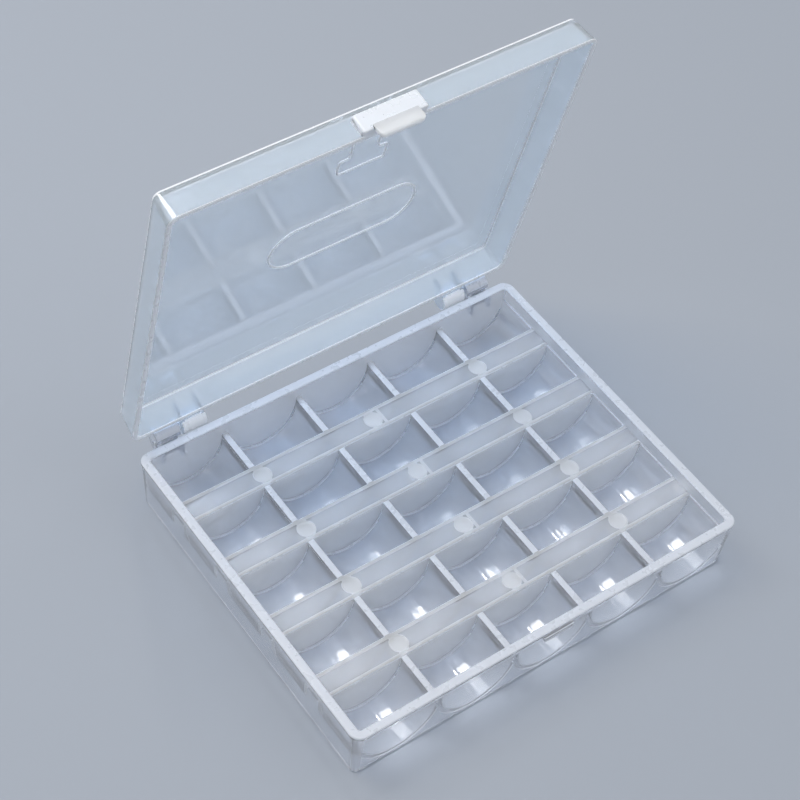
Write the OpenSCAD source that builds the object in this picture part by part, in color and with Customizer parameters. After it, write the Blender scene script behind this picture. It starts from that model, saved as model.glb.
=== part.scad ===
// Hinged bobbin box: a tray with a grid of cradles for bobbins stood on edge,
// and a shallow lid on two pin hinges with a flexing latch. Millimetres.
// The origin is the middle of the tray's underside. +X runs along the hinge line,
// +Y towards the hinge side and +Z up. The lid is drawn at its open rest angle.

/* [Tray] */
// Outside length of the tray rim, along the hinge line
tray_length = 122; // [118:1:126]
// Outside depth of the tray rim, front to back
tray_depth = 101; // [98:1:104]
// Height of the tray, from the table to the rim
tray_height = 17.3; // [17:0.1:19]
// Wall thickness of the tray at its rim, lip included
rim_width = 2.6; // [2.4:0.1:2.8]
// How far the rim lip stands out from the wall below it
lip_overhang = 0.2; // [0.1:0.1:0.4]
// Height of the rim lip
lip_height = 1.2; // [1:0.1:1.6]
// How far the outside of each wall leans in from the lip to the table
wall_draft = 0.9; // [0.5:0.1:1.1]
// Corner radius of the outside walls
corner_radius = 3.2; // [2.8:0.1:4]

/* [Cradles] */
// How far the deck between the cradles lies below the rim
deck_drop = 4.1; // [3.8:0.1:4.4]
// Inside radius of a cradle
cradle_radius = 10.9; // [10.6:0.1:11]
// Distance between neighbouring cradles along the hinge line
cradle_pitch = 23.6; // [23.4:0.1:23.7]
// Width of each hollow bridge between two rows of cradles
bridge_width = 7.3; // [6.8:0.1:8]
// Thickness of cradle floors, cradle end walls and deck
shell_thickness = 1.25; // [1.1:0.05:1.3]

/* [Lid] */
// Height of the lid, from its rim to its outer face
lid_height = 8.7; // [8:0.1:10]
// How far the lid's outer face is inset from its rim on every side
lid_taper = 1.1; // [0.6:0.1:1.4]
// Thickness of the lid's flat panel
lid_panel_thickness = 1.3; // [1.1:0.1:1.6]
// Thickness of the lid's side walls
lid_wall_thickness = 1.5; // [1.3:0.1:1.8]
// Angle from closed at which the lid stands
lid_open_angle = 79; // [60:1:110]
// Gap between the lid rim and the tray rim when closed
lid_gap = 0.1; // [0.05:0.05:0.2]

/* [Hinges] */
// How far behind the rim the hinge line lies
hinge_setback = 2.95; // [2.9:0.05:3.2]
// How far above the tray rim the hinge line lies
hinge_rise = 0.5; // [0.4:0.1:0.7]
// Outside radius of the hinge ears
knuckle_radius = 2.7; // [2.5:0.1:2.8]
// Thickness of one hinge ear
ear_thickness = 1.2; // [1:0.1:1.3]
// Distance from the middle of the box to the inner end of each lid knuckle
knuckle_offset = 39; // [30:1:42]
// Width of one knuckle over its two ears
knuckle_width = 7.2; // [6.6:0.1:7.6]
// Gap between the tray knuckle and the lid knuckle
knuckle_gap = 1; // [0.6:0.1:1.2]
// Radius of the stub pin each lid knuckle turns on
pin_radius = 1; // [0.8:0.05:1.1]
// Clearance round the stub pin in its hole
pin_clearance = 0.05; // [0.02:0.01:0.1]

/* [Latch] */
// Width of the thick latch plate on the lid's front wall
latch_plate_width = 18.6; // [16:0.2:22]
// How far the latch plate stands out from the lid rim
latch_plate_depth = 1.7; // [1.4:0.1:2]
// Width of the latch flap below the lid rim
latch_flap_width = 12.8; // [10:0.2:14]
// How far the latch flap reaches below the lid rim
latch_flap_drop = 3.1; // [2.9:0.1:3.6]
// Length of the catch rib on the tray's front wall
catch_length = 9.4; // [8:0.2:10]
// How far the catch rib stands out from the rim
catch_depth = 1; // [0.8:0.1:1]
// Height of the catch rib
catch_height = 1.7; // [1.4:0.1:1.8]

/* [Lid lines] */
// Length of the rounded outline in the middle of the lid
label_length = 45; // [36:1:60]
// Height of the rounded outline in the middle of the lid
label_height = 16; // [12:1:20]
// Width of the spool outline between the latch and the middle of the lid
spool_width = 14.6; // [12:0.2:17]
// Height of the spool outline over its two flanges
spool_height = 17.6; // [15:0.2:20]
// Width of the raised lines inside the lid
line_width = 0.6; // [0.5:0.1:1]
// Height of the raised lines inside the lid
line_height = 0.35; // [0.25:0.05:0.5]

/* [Hidden] */

tray_colour = [0.86, 0.89, 0.94, 0.6];
lid_colour = [0.84, 0.88, 0.94, 0.6];
latch_colour = [0.95, 0.96, 0.98, 0.85];

rows = 5;
columns = 5;
// Steps round a full circle of a cradle and of a hinge ear
cradle_steps = 60;
ear_steps = 36;
half_length = tray_length / 2;
half_depth = tray_depth / 2;
lip_z = tray_height - lip_height;
wall_x = half_length - lip_overhang;
wall_y = half_depth - lip_overhang;
inner_x = half_length - rim_width;
inner_y = half_depth - rim_width;
deck_z = tray_height - deck_drop;
// The cradle floors are flattened this much where they meet the table.
cradle_flat = 0.06;
cradle_z = cradle_radius + shell_thickness - cradle_flat;
pocket_length = (2 * inner_y - (rows - 1) * bridge_width) / rows;
row_pitch = pocket_length + bridge_width;

hinge_y = half_depth + hinge_setback;
hinge_z = tray_height + hinge_rise;
lid_z = tray_height + lid_gap;
tray_knuckle_start = knuckle_offset + knuckle_width + knuckle_gap;
web_thickness = 1.1;
// The hinge ears run into ribs, down the tray's back wall and up the lid's.
tray_rib_drop = 6.2;
lid_rib_rise = 5;
// The curved webs between the ears start and end at these angles about the hinge line.
tray_web = [80, 275];
lid_web = [110, 280];
// The stub pin reaches this far past the bored ear.
pin_reach = 0.4;
// Room left over the tray rim when a lid ear turns past it
rim_room = 0.15;

// The lid's outer edge is bevelled, and its inner corners are tighter than its outer ones.
lid_edge_drop = 0.5;
lid_edge_inset = 0.4;
lid_inner_corner = corner_radius - 1.2;

latch_plate_height = 5.6;
latch_plate_bevel = 0.8;
// The catch rib hangs a little below the rim, and the hook takes it from below.
catch_top = tray_height - 0.2;
catch_corner = 0.7;
// The latch flap turns about a round bead on the outside of the latch plate.
bead_radius = 0.2;
bead_rise = 0.9;
// Gaps between the flap and the plate, the flap and the catch, and the hook and the catch
plate_gap = 0.02;
catch_gap = 0.25;
hook_gap = 0.05;
flap_face_y = -half_depth - latch_plate_depth - plate_gap;
flap_inner_y = -half_depth - catch_depth - catch_gap;
bead_y = flap_face_y - bead_radius;
wedge_reach = 0.5;
hook_reach = 0.55;
hook_inset = 1.2;

spool_y = -34;
spool_flange = 5.8;
spool_stem = 8.8;
spool_corner = 0.9;

// Thickness of the slices that a tapering hull runs between
slice = 0.01;
// Size of the blocks that trim one moulding to the face of another
block = 9;

// Rounded rectangle, centred
module rounded_rect(hx, hy, r) {
  hull() {
    for (sx = [-1, 1]) {
      for (sy = [-1, 1]) {
        translate([sx * (hx - r), sy * (hy - r)])
          circle(r = r, $fn = 32);
      }
    }
  }
}

// Puts children drawn closed at the lid's open rest angle
module opened() {
  translate([0, hinge_y, hinge_z])
    rotate([-lid_open_angle, 0, 0])
      translate([0, -hinge_y, -hinge_z])
        children();
}

// Side view (Y, Z) drawn flat, stood up and given a width along X from x0
module side_slice(x0, width) {
  translate([x0, 0, 0])
    rotate([90, 0, 90])
      linear_extrude(width)
        children();
}

// Front view (X, Z) drawn flat, stood up and given a length along +Y from y0
module front_slice(y0, length) {
  translate([0, y0 + length, 0])
    rotate([90, 0, 0])
      linear_extrude(length)
        children();
}

// Middle of a column of cradles
function column_x(j) = (j - (columns - 1) / 2) * cradle_pitch;

// Front end of a row of cradles, row 1 being the one next to the hinge
function row_y(i) = inner_y - pocket_length - (i - 1) * row_pitch;

// Outside outline of all cradles of a row, from the table to the deck
module cups_outline() {
  intersection() {
    translate([-inner_x, 0])
      square([2 * inner_x, deck_z]);
    for (j = [0 : columns - 1]) {
      translate([column_x(j), cradle_z])
        circle(r = cradle_radius + shell_thickness, $fn = cradle_steps);
      translate([column_x(j) - cradle_radius - shell_thickness, cradle_z])
        square([2 * (cradle_radius + shell_thickness), deck_z - cradle_z]);
    }
  }
}

// Space a row of bobbins takes, open at the deck
module pockets_outline() {
  for (j = [0 : columns - 1]) {
    translate([column_x(j), cradle_z])
      circle(r = cradle_radius, $fn = cradle_steps);
    translate([column_x(j) - cradle_radius, cradle_z])
      square([2 * cradle_radius, cradle_radius]);
  }
}

// One row of cradles without its end walls
module cradles(i) {
  color(tray_colour)
    front_slice(row_y(i), pocket_length)
      difference() {
        cups_outline();
        pockets_outline();
      }
}

// Hollow bridge between row i and row i + 1, with the end walls of both
module hollow_bridge(i) {
  y0 = row_y(i) - bridge_width;
  color(tray_colour) {
    front_slice(y0, shell_thickness)
      cups_outline();
    front_slice(y0 + bridge_width - shell_thickness, shell_thickness)
      cups_outline();
    translate([-inner_x, y0 + shell_thickness, deck_z - shell_thickness])
      cube([2 * inner_x, bridge_width - 2 * shell_thickness, shell_thickness]);
  }
}

module cradle_row_1() {
  cradles(1);
}

module cradle_row_2() {
  cradles(2);
}

module cradle_row_3() {
  cradles(3);
}

module cradle_row_4() {
  cradles(4);
}

module cradle_row_5() {
  cradles(5);
}

module bridge_1() {
  hollow_bridge(1);
}

module bridge_2() {
  hollow_bridge(2);
}

module bridge_3() {
  hollow_bridge(3);
}

module bridge_4() {
  hollow_bridge(4);
}

// Outer walls of the tray with the rim lip, leaning in towards the table
module tray_walls() {
  color(tray_colour)
    difference() {
      union() {
        hull() {
          linear_extrude(slice)
            rounded_rect(wall_x - wall_draft, wall_y - wall_draft, corner_radius - lip_overhang - wall_draft);
          translate([0, 0, lip_z - slice])
            linear_extrude(slice)
              rounded_rect(wall_x, wall_y, corner_radius - lip_overhang);
        }
        translate([0, 0, lip_z])
          linear_extrude(lip_height)
            rounded_rect(half_length, half_depth, corner_radius);
      }
      translate([-inner_x, -inner_y, -1])
        cube([2 * inner_x, 2 * inner_y, tray_height + 2]);
    }
}

// Point on a hinge ear's edge in side view, at angle a about the hinge line
function ear_point(a) = [hinge_y, hinge_z] + 0.975 * knuckle_radius * [cos(a), sin(a)];

// Side view of the tray's back wall as a block, with the space over its rim
module tray_back_outline() {
  polygon([
    [half_depth - block, 0],
    [wall_y - wall_draft, 0],
    [wall_y, lip_z],
    [half_depth, lip_z],
    [half_depth, hinge_z + block],
    [half_depth - block, hinge_z + block]
  ]);
}

// Side view of a hinge ear with its rib down the tray wall
module tray_ear_outline() {
  difference() {
    union() {
      translate([hinge_y, hinge_z])
        circle(r = knuckle_radius, $fn = ear_steps);
      polygon([
        [wall_y - 2, hinge_z - tray_rib_drop - 0.4],
        [wall_y + 0.6, hinge_z - tray_rib_drop],
        ear_point(-53),
        [hinge_y - 1.6, hinge_z + 1],
        [wall_y, hinge_z - 1]
      ]);
    }
    tray_back_outline();
  }
}

// Side view of the curved web between two ears, from angle a0 to a1
module web_outline(a0, a1) {
  intersection() {
    difference() {
      circle(r = knuckle_radius, $fn = ear_steps);
      circle(r = knuckle_radius - web_thickness, $fn = ear_steps);
    }
    polygon([
      [0, 0],
      [block * cos(a0), block * sin(a0)],
      [block * cos((2 * a0 + a1) / 3), block * sin((2 * a0 + a1) / 3)],
      [block * cos((a0 + 2 * a1) / 3), block * sin((a0 + 2 * a1) / 3)],
      [block * cos(a1), block * sin(a1)]
    ]);
  }
}

// Tray half of a hinge: two ears and a web, the inner ear bored for the pin
module tray_knuckle() {
  x0 = tray_knuckle_start;
  difference() {
    union() {
      side_slice(x0, ear_thickness)
        tray_ear_outline();
      side_slice(x0 + knuckle_width - ear_thickness, ear_thickness)
        tray_ear_outline();
      side_slice(x0 + ear_thickness, knuckle_width - 2 * ear_thickness) {
        translate([hinge_y, hinge_z])
          web_outline(tray_web[0], tray_web[1]);
        difference() {
          polygon([
            [wall_y - 1, hinge_z - 3.4],
            [hinge_y, hinge_z - knuckle_radius],
            [hinge_y, hinge_z - knuckle_radius + web_thickness],
            [hinge_y - 2, hinge_z - 1.5],
            [wall_y - 1, hinge_z - 1.8]
          ]);
          tray_back_outline();
          translate([hinge_y, hinge_z])
            circle(r = knuckle_radius - web_thickness, $fn = ear_steps);
        }
      }
    }
    translate([x0 - 1, hinge_y, hinge_z])
      rotate([0, 90, 0])
        cylinder(r = pin_radius + pin_clearance, h = ear_thickness + pin_reach + 1.1, $fn = ear_steps);
  }
}

// Side view of a lid ear with its rib up the lid's back wall, drawn closed
module lid_ear_outline() {
  difference() {
    union() {
      translate([hinge_y, hinge_z])
        circle(r = knuckle_radius, $fn = ear_steps);
      polygon([
        [half_depth - 1.2, lid_z + lid_rib_rise],
        [half_depth + 0.4, lid_z + lid_rib_rise],
        ear_point(43),
        [hinge_y - 0.6, hinge_z - 2.1],
        [half_depth - 1.2, lid_z + 0.05]
      ]);
    }
    lid_back_outline();
    translate([half_depth + rim_room - block, lid_z - block])
      square(block);
  }
}

// Side view of the lid's back wall as a block, drawn closed
module lid_back_outline() {
  polygon([
    [half_depth - block, lid_z - 0.5],
    [half_depth, lid_z - 0.5],
    [half_depth, lid_z],
    [half_depth - lid_taper, lid_z + lid_height],
    [half_depth - block, lid_z + lid_height]
  ]);
}

// Lid half of a hinge: two ears, a web and the stub pin on the outer ear
module lid_knuckle() {
  x0 = knuckle_offset;
  side_slice(x0, ear_thickness)
    lid_ear_outline();
  side_slice(x0 + knuckle_width - ear_thickness, ear_thickness)
    lid_ear_outline();
  side_slice(x0 + ear_thickness, knuckle_width - 2 * ear_thickness)
    difference() {
      union() {
        translate([hinge_y, hinge_z])
          web_outline(lid_web[0], lid_web[1]);
        polygon([
          [half_depth - 1.2, lid_z + 2.6],
          [half_depth - 1.2, lid_z + 0.1],
          [half_depth + 0.6, lid_z + 0.1],
          [hinge_y - 1, hinge_z + 2.3]
        ]);
      }
      lid_back_outline();
      translate([hinge_y, hinge_z])
        circle(r = knuckle_radius - web_thickness, $fn = ear_steps);
    }
  translate([x0 + knuckle_width, hinge_y, hinge_z])
    rotate([0, 90, 0])
      cylinder(r = pin_radius, h = knuckle_gap + ear_thickness + pin_reach, $fn = ear_steps);
}

module tray_knuckle_right() {
  color(tray_colour)
    tray_knuckle();
}

module tray_knuckle_left() {
  color(tray_colour)
    mirror([1, 0, 0])
      tray_knuckle();
}

module lid_knuckle_right() {
  color(lid_colour)
    opened()
      lid_knuckle();
}

module lid_knuckle_left() {
  color(lid_colour)
    opened()
      mirror([1, 0, 0])
        lid_knuckle();
}

// Catch rib seen from the front, its two lower corners round
module catch_outline() {
  w = catch_length / 2;
  low = catch_top - catch_height;
  translate([-w, low + catch_corner])
    square([2 * w, catch_height - catch_corner]);
  translate([-w + catch_corner, low])
    square([2 * (w - catch_corner), catch_height]);
  for (s = [-1, 1]) {
    translate([s * (w - catch_corner), low + catch_corner])
      circle(r = catch_corner, $fn = 32);
  }
}

// Rib below the edge of the rim that the latch hooks under
module catch_rib() {
  color(tray_colour)
    difference() {
      front_slice(-half_depth - catch_depth, catch_depth + 0.5)
        catch_outline();
      translate([-half_length, -half_depth, lip_z])
        cube([tray_length, 2, tray_height]);
      mirror([0, 1, 0])
        side_slice(-half_length, tray_length)
          tray_back_outline();
    }
}

// Flat panel and four tapering walls of the lid, in one moulding
module lid_shell() {
  t = lid_wall_thickness;
  top_x = half_length - lid_taper;
  top_y = half_depth - lid_taper;
  color(lid_colour)
    opened()
      translate([0, 0, lid_z])
        difference() {
          hull() {
            linear_extrude(slice)
              rounded_rect(half_length, half_depth, corner_radius);
            translate([0, 0, lid_height - lid_edge_drop])
              linear_extrude(slice)
                rounded_rect(top_x + 0.05, top_y + 0.05, corner_radius);
            translate([0, 0, lid_height - slice])
              linear_extrude(slice)
                rounded_rect(top_x - lid_edge_inset, top_y - lid_edge_inset, corner_radius);
          }
          hull() {
            translate([0, 0, -slice])
              linear_extrude(slice)
                rounded_rect(half_length - t, half_depth - t, lid_inner_corner);
            translate([0, 0, lid_height - lid_panel_thickness - slice])
              linear_extrude(slice)
                rounded_rect(top_x - t, top_y - t, lid_inner_corner);
          }
        }
}

// Raised line along the edge of a flat outline, on the inner face of the lid
module inner_line() {
  color(lid_colour)
    opened()
      translate([0, 0, lid_z + lid_height - lid_panel_thickness - line_height])
        linear_extrude(line_height)
          difference() {
            children();
            offset(delta = -line_width)
              children();
          }
}

// Rounded outline in the middle of the lid
module label_outline() {
  inner_line()
    hull() {
      for (s = [-1, 1]) {
        translate([s * (label_length - label_height) / 2, 0])
          circle(r = label_height / 2, $fn = 48);
      }
    }
}

// Plain spool-shaped outline between the latch and the middle of the lid
module spool_outline() {
  flange_y = (spool_height - spool_flange) / 2;
  inner_line()
    translate([0, spool_y])
      offset(r = spool_corner, $fn = 16)
        offset(delta = -spool_corner)
          union() {
            translate([0, flange_y])
              square([spool_width, spool_flange], center = true);
            translate([0, -flange_y])
              square([spool_width, spool_flange], center = true);
            square([spool_stem, spool_height - spool_flange], center = true);
          }
}

// Thick plate on the lid's front wall that carries the latch flap
module latch_plate() {
  w = latch_plate_width / 2;
  d = half_depth + latch_plate_depth;
  b = latch_plate_bevel;
  color(latch_colour)
    opened()
      translate([0, 0, lid_z])
        difference() {
          linear_extrude(latch_plate_height)
            polygon([
              [-w, -half_depth + 2],
              [-w, -d + b],
              [-w + b, -d],
              [w - b, -d],
              [w, -d + b],
              [w, -half_depth + 2]
            ]);
          side_slice(-w - 1, 2 * w + 2)
            polygon([
              [-half_depth, -1],
              [-half_depth, 0],
              [-half_depth + lid_taper, lid_height],
              [-half_depth + 6, lid_height],
              [-half_depth + 6, -1]
            ]);
        }
}

// Flexing flap: a thumb wedge outside, and inside a small hook below the catch
module latch_flap() {
  w = latch_flap_width / 2;
  lip_y = bead_y - bead_radius - wedge_reach;
  hook_z = catch_top - catch_height - hook_gap - lid_z;
  color(latch_colour)
    opened()
      translate([0, 0, lid_z]) {
        side_slice(-w, 2 * w) {
          translate([bead_y, bead_rise])
            circle(r = bead_radius, $fn = 32);
          polygon([
            [flap_face_y, bead_rise],
            [bead_y - bead_radius, bead_rise],
            [lip_y, -latch_flap_drop + 0.8],
            [lip_y + 0.1, -latch_flap_drop + 0.3],
            [flap_face_y - 0.1, -latch_flap_drop],
            [flap_inner_y, -latch_flap_drop],
            [flap_inner_y, -0.05],
            [flap_face_y, -0.05]
          ]);
        }
        side_slice(-w + hook_inset, 2 * (w - hook_inset))
          polygon([
            [flap_inner_y - 0.1, hook_z],
            [flap_inner_y - 0.1, -latch_flap_drop],
            [flap_inner_y + 0.15, -latch_flap_drop],
            [flap_inner_y + hook_reach, hook_z - 0.3],
            [flap_inner_y + hook_reach, hook_z]
          ]);
      }
}

tray_walls();
cradle_row_1();
cradle_row_2();
cradle_row_3();
cradle_row_4();
cradle_row_5();
bridge_1();
bridge_2();
bridge_3();
bridge_4();
tray_knuckle_left();
tray_knuckle_right();
catch_rib();
lid_shell();
lid_knuckle_left();
lid_knuckle_right();
label_outline();
spool_outline();
latch_plate();
latch_flap();
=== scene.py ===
"""Hinged bobbin box: the moulded plastic of its tray, lid and latch, laid over the CAD frame."""

import math

import bmesh
import bpy
import numpy as np
from bpy.props import FloatProperty, FloatVectorProperty, IntProperty, PointerProperty
from bpy.types import Operator, Panel, PropertyGroup
from mathutils import Matrix, Vector


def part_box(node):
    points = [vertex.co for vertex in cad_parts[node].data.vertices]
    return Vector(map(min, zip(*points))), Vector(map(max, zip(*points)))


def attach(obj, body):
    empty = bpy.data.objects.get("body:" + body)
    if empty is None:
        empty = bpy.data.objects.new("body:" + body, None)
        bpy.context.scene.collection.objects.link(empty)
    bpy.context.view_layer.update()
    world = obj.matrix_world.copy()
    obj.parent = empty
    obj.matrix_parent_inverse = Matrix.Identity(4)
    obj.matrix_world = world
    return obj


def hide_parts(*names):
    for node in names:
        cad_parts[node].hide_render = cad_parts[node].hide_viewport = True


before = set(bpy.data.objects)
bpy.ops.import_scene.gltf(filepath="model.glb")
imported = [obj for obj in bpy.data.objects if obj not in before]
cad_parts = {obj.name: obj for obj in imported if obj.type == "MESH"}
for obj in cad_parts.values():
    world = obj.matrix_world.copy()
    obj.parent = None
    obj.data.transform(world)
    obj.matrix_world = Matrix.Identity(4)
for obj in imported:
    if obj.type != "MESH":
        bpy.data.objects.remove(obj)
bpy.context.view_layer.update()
WALLS_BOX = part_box("tray_walls")
CATCH_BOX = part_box("catch_rib")

bl_info = {
    "name": "Bobbin Box",
    "version": (1, 0, 0),
    "blender": (4, 5, 0),
    "location": "View3D > Sidebar > Bobbin Box",
    "description": "Builds the moulded surfaces of a hinged bobbin box",
    "category": "Object",
}

ROWS = 5
COLUMNS = 5

# Lengths in metres: how far the deck, the hinge ribs and the raised lines reach into their neighbours.
WALL_LAP = 0.001
RIB_SEAT = 0.0006
LINE_SEAT = 0.0003

# The strip of faces kept beside an edge, and how much of a cradle's lowest line the table cuts off.
BAND = 0.0012
CRADLE_FLAT = 0.00006

# Round posts below the bridges, and where the web of a hinge lies between its ears.
POST_RADIUS = 0.0026
POST_DEPTH = 0.0040
WEB_INSET = 0.0008
WEB_SINK = 0.00003

# The smallest corner seen from above, the smallest gap or rounding, and the floor's place below 0.
SMALLEST_TURN = 0.0008
HAIR = 0.00001
FLOOR_GAP = 0.0001

# The largest share of a depth or a width that one rounding takes.
LARGEST_ROUND = 0.45

# Sines of a face's slope, which sort the faces by the way they look.
TURNING = 0.25
FACES_UP = 0.4
NEARLY_FLAT = 0.93
FLAT = 0.95

# Plastic. SHINE_THROUGH is added to the clear share where lamps shine on what lies behind.
PLASTIC_IOR = 1.49
COAT_ROUGHNESS = 0.03
RIPPLE_DEPTH = 0.0002
SHINE_THROUGH = 0.16
CLOUD_SCALE = 60.0
GRAIN_SCALE = 420.0
GLOSS_DRIFT = 0.06

# Each lamp's place, its width and height, and the property that holds its power.
LAMPS = (
    ("key_lamp", (-0.30, 0.42, 0.90), 0.40, 0.7, "key_power"),
    ("fill_lamp", (0.75, -0.35, 0.60), 1.3, 1.3, "fill_power"),
    ("glint_lamp", (0.13, 0.36, 0.92), 0.05, 0.16, "glint_power"),
)
LAMP_AIM = (0, 0, 0.02)

# The camera's azimuth from +Y, how far it looks down and its roll, in degrees.
CAMERA_ANGLES = (40.9645, 50.1459, 7.2153)
CAMERA_PLACE = (-0.221517, -0.235373, 0.438461)
CAMERA_LENS = 91.5475
CAMERA_SENSOR = 36.0


# ---------------------------------------------------------------- properties


def length(name, description, default, low=0.0, high=1.0):
    """A length property in metres."""
    limits = {"min": low, "max": high, "precision": 5, "subtype": "DISTANCE", "unit": "LENGTH"}
    return FloatProperty(name=name, description=description, default=default, **limits)


def colour(name, description, default):
    """A colour property without alpha."""
    limits = {"size": 3, "min": 0.0, "max": 1.0, "subtype": "COLOR"}
    return FloatVectorProperty(name=name, description=description, default=default, **limits)


def fraction(name, description, default):
    """A property between 0 and 1."""
    return FloatProperty(
        name=name, description=description, default=default, min=0.0, max=1.0, subtype="FACTOR"
    )


def power(name, description, default):
    """A lamp's power in watts."""
    return FloatProperty(name=name, description=description, default=default, min=0.0, unit="POWER")


class BoxTray(PropertyGroup):
    """Sizes of the tray moulding."""

    length: length("Length", "Outside length of the rim", WALLS_BOX[1][0] - WALLS_BOX[0][0])
    depth: length("Depth", "Outside depth of the rim, front to back", WALLS_BOX[1][1] - WALLS_BOX[0][1])
    height: length("Height", "Height of the tray from the table to its rim", WALLS_BOX[1][2])
    rim_width: length("Rim width", "Width of the rim, lip included", 0.0026)
    lip_overhang: length("Lip overhang", "How far the rim lip stands out from the wall", 0.0002)
    lip_height: length("Lip height", "Height of the rim lip", 0.0012)
    wall_draft: length("Wall draft", "How far the wall leans in from lip to table", 0.0009)
    corner_radius: length("Corner radius", "Corner radius of the rim, seen from above", 0.0032)
    deck_drop: length("Deck drop", "How far the deck lies below the rim", 0.0041)
    cradle_radius: length("Cradle radius", "Inside radius of a cradle", 0.0109)
    cradle_pitch: length("Cradle pitch", "Distance between neighbouring cradles", 0.0236)
    bridge_width: length("Bridge width", "Width of a bridge between two rows", 0.0073)
    shell: length("Shell thickness", "Thickness of cradle floors, end walls and deck", 0.00125)
    edge_radius: length("Edge radius", "Rounding of ridge and bridge edges", 0.0004)
    root_radius: length("Root radius", "Fillet where a cradle floor meets its end walls", 0.0007)
    arc_steps: IntProperty(
        name="Arc steps", description="Faces across one cradle's arc", default=36, min=12, max=96
    )


class BoxLid(PropertyGroup):
    """Sizes of the lid moulding."""

    height: length("Height", "Height of the lid from its rim to its outer face", 0.0087)
    taper: length("Taper", "How far the outer face is inset from the rim", 0.0011)
    panel: length("Panel thickness", "Thickness of the flat panel", 0.0013)
    wall: length("Wall thickness", "Thickness of the side walls", 0.0015)
    gap: length("Closed gap", "Gap between the two rims when the box is closed", 0.0001)
    open_angle: FloatProperty(
        name="Open angle",
        description="Angle from closed at which the lid stands",
        default=math.radians(79),
        subtype="ANGLE",
        unit="ROTATION",
    )
    edge_radius: length("Edge radius", "Rounding of the lid's outer edges", 0.0009)
    label_length: length("Outline length", "Length of the rounded outline", 0.045)
    label_height: length("Outline height", "Height of the rounded outline", 0.016)
    spool_setback: length("Spool setback", "From the panel's middle to the spool outline", 0.034)
    spool_width: length("Spool width", "Width of the spool outline over its flanges", 0.014)
    spool_height: length("Spool height", "Height of the spool outline", 0.017)
    spool_flange: length("Spool flange", "Thickness of each flange of the spool outline", 0.0052)
    spool_stem: length("Spool stem", "Width of the spool outline between its flanges", 0.0082)
    spool_corner: length("Spool corner", "Corner radius of the spool outline", 0.0009)
    line_width: length("Line width", "Width of the raised lines", 0.0006)
    line_height: length("Line height", "Height of the raised lines", 0.00033)


class BoxHinge(PropertyGroup):
    """Sizes of the two pin hinges."""

    setback: length("Setback", "How far behind the rim the hinge line lies", 0.00295)
    rise: length("Rise", "How far above the tray rim the hinge line lies", 0.0005)
    radius: length("Ear radius", "Outside radius of the hinge ears", 0.0027)
    web: length("Web thickness", "Thickness of the curved web between two ears", 0.0011)
    ear: length("Ear thickness", "Thickness of one hinge ear", 0.0012)
    offset: length("Knuckle offset", "From the middle of the box to each lid knuckle", 0.039)
    width: length("Knuckle width", "Width of one knuckle over its two ears", 0.0072)
    gap: length("Knuckle gap", "Gap between the tray knuckle and the lid knuckle", 0.001)
    pin: length("Pin radius", "Radius of the stub pin", 0.001)
    clearance: length("Pin clearance", "Clearance round the pin in its hole", 0.00005)


class BoxLatch(PropertyGroup):
    """Sizes of the latch and its catch."""

    plate_width: length("Plate width", "Width of the thick plate on the lid's front wall", 0.0186)
    plate_height: length("Plate height", "Height of the thick plate", 0.0056)
    plate_depth: length("Plate depth", "How far the plate stands out from the lid rim", 0.0017)
    flap_width: length("Flap width", "Width of the flap below the lid rim", 0.0128)
    flap_drop: length("Flap drop", "How far the flap reaches below the lid rim", 0.0031)
    flap_corner: length("Flap corner", "Radius of the flap's two lower corners", 0.0013)
    catch_depth: length("Catch depth", "How far the catch stands out from the rim", 0.001)


class BoxFinish(PropertyGroup):
    """Colours and finish of the plastic."""

    tray_colour: colour("Tray colour", "Milky colour of the tray plastic", (0.94, 0.958, 0.99))
    lid_colour: colour("Lid colour", "Milky colour of the lid plastic", (0.84, 0.905, 0.985))
    latch_colour: colour("Latch colour", "Milky colour of the latch", (0.90, 0.92, 0.96))
    tray_clear: fraction("Tray clearness", "Share of light that passes through the tray plastic", 0.86)
    # End walls, bridge edges and posts get this less clear copy, which stays whiter: on the end walls
    # painted light where they stand in shade.
    wall_painted_light_clear: fraction("Wall clearness", "Share of light that passes through the end walls", 0.62)
    lid_clear: fraction("Lid clearness", "Share of light that passes through the lid plastic", 0.76)
    latch_clear: fraction("Latch clearness", "Share of light that passes through the latch", 0.25)
    # A whiter, less clear copy of the plastic for rims, edges, raised lines and cradle ends: partly more
    # plastic along the view, partly a painted highlight along each edge.
    thick_highlight_colour: colour("Thick colour", "Colour where the plastic is seen deep", (0.66, 0.69, 0.755))
    line_and_highlight_colour: colour("Line colour", "Colour of the lid's raised lines and edges", (0.93, 0.95, 0.985))
    thick_highlight_clear: fraction("Thick clearness", "Share of light that passes where the plastic is deep", 0.12)
    roughness: fraction("Roughness", "Roughness of the moulded surface", 0.10)


class BoxStage(PropertyGroup):
    """Floor, light and camera."""

    floor_colour: colour("Floor colour", "Colour of the plain floor", (0.37, 0.40, 0.45))
    floor_size: length("Floor size", "Side of the floor", 6.0, 0.5, 20.0)
    world_colour: colour("World colour", "Colour of the even light", (0.93, 0.96, 1.0))
    world_strength: FloatProperty(
        name="World strength", description="Strength of the even light", default=0.50, min=0.0
    )
    key_power: power("Key light", "Power of the key lamp", 6.0)
    fill_power: power("Fill light", "Power of the fill lamp", 2.6)
    glint_power: power("Glint light", "Power of the small lamp", 0.6)


# ------------------------------------------------------------- shape helpers


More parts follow.
